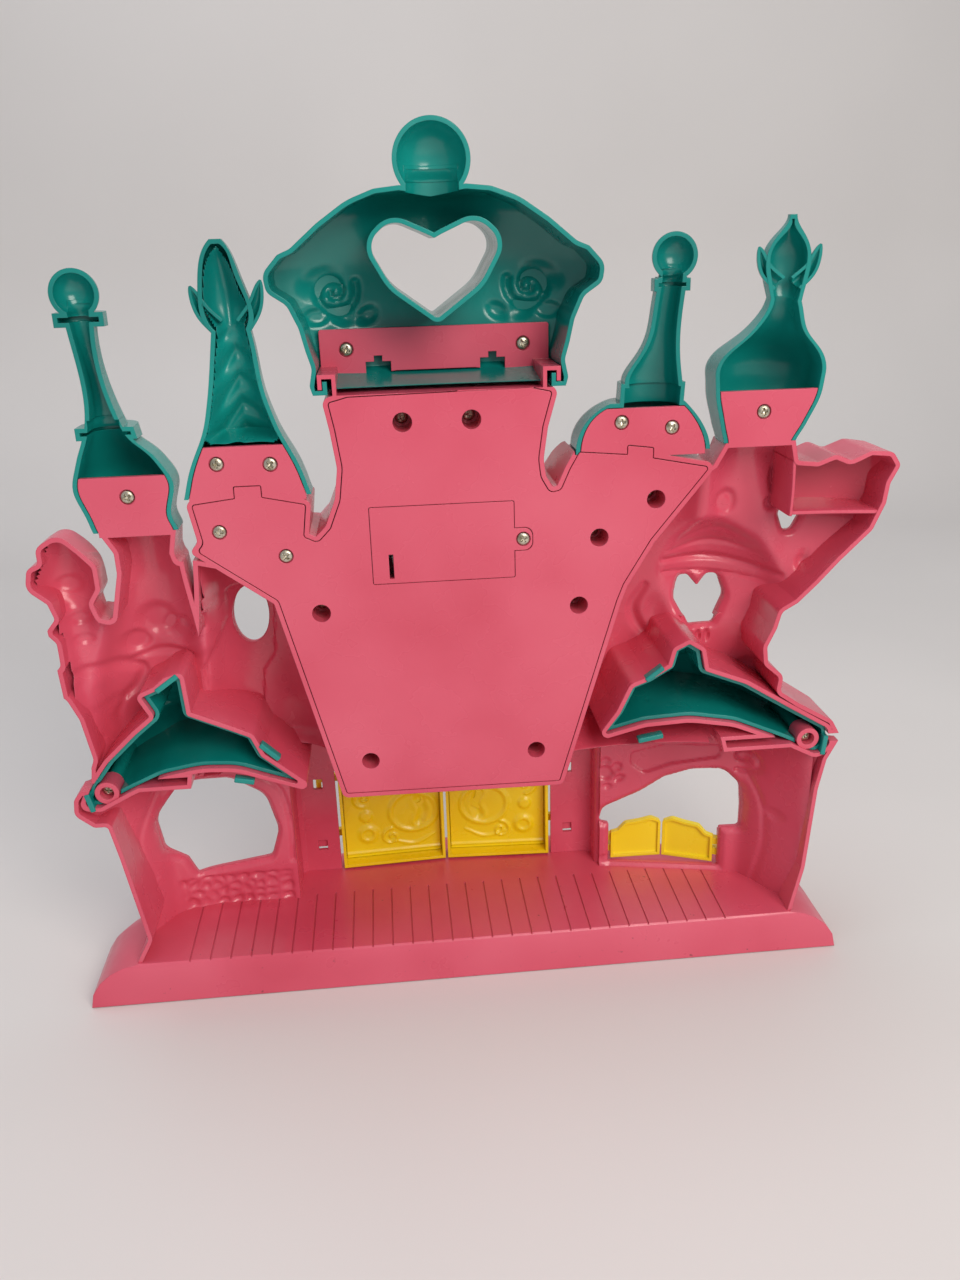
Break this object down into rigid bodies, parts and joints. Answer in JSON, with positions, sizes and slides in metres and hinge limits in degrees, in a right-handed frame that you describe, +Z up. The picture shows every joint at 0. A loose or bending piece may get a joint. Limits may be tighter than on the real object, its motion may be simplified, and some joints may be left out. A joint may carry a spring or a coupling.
{
  "type": "toy castle",
  "caption": "Open-backed toy castle with domed towers, hinged doors and gates, a balcony and a sound unit, on a planked stand.",
  "frame": {"origin": "middle of the base's underside", "axes": "+X to the right as seen from the open play side, -Y towards the play side, +Y towards the street side, +Z up"},
  "size_m": [0.3865, 0.112, 0.3942],
  "materials": {
    "pink_plastic": "moulded",
    "teal_plastic": "moulded",
    "yellow_plastic": "moulded",
    "screw_steel": "zinc plated",
    "contact_steel": "nickel plated",
    "battery_steel": "sleeved",
    "board": "lacquered",
    "speaker_steel": "painted"
  },
  "bodies": {
    "castle": {"base_stand": "pink_plastic", "castle_front": "pink_plastic", "back_cover": "pink_plastic", "battery_door": "pink_plastic", "batteries": "battery_steel", "battery_contacts": "contact_steel", "circuit_board": "board", "speaker": "speaker_steel", "crown_dome": "teal_plastic", "spire_far_left": "teal_plastic", "spire_left": "teal_plastic", "spire_right": "teal_plastic", "spire_far_right": "teal_plastic", "roof_left": "teal_plastic", "roof_right": "teal_plastic", "cover_screws": "screw_steel", "teal_screws": "screw_steel", "battery_door_screw": "screw_steel"},
    "door_left": {"door_left": "yellow_plastic"},
    "door_right": {"door_right": "yellow_plastic"},
    "gate_left": {"gate_left": "yellow_plastic"},
    "gate_right": {"gate_right": "yellow_plastic"},
    "button": {"push_button": "yellow_plastic"}
  },
  "joints": [
    {"name": "door_left_hinge", "type": "hinge", "parent": "castle", "child": "door_left", "pos_m": [-0.076, 0.0254, 0.039], "axis": [0, 0, 1], "range_deg": [-3, 85]},
    {"name": "door_right_hinge", "type": "hinge", "parent": "castle", "child": "door_right", "pos_m": [0.061, 0.0254, 0.039], "axis": [0, 0, -1], "range_deg": [-3, 85]},
    {"name": "gate_left_hinge", "type": "hinge", "parent": "castle", "child": "gate_left", "pos_m": [0.07873, 0.00999, 0.027], "axis": [0, 0, 1], "range_deg": [-10.5, 75]},
    {"name": "gate_right_hinge", "type": "hinge", "parent": "castle", "child": "gate_right", "pos_m": [0.14351, -0.00364, 0.027], "axis": [0, 0, -1], "range_deg": [-10.5, 75]},
    {"name": "button_press", "type": "slide", "parent": "castle", "child": "button", "axis": [0, -1, 0], "range_m": [0, 0.002], "stiffness_N_per_m": 400, "springref_m": -0.001}
  ]
}
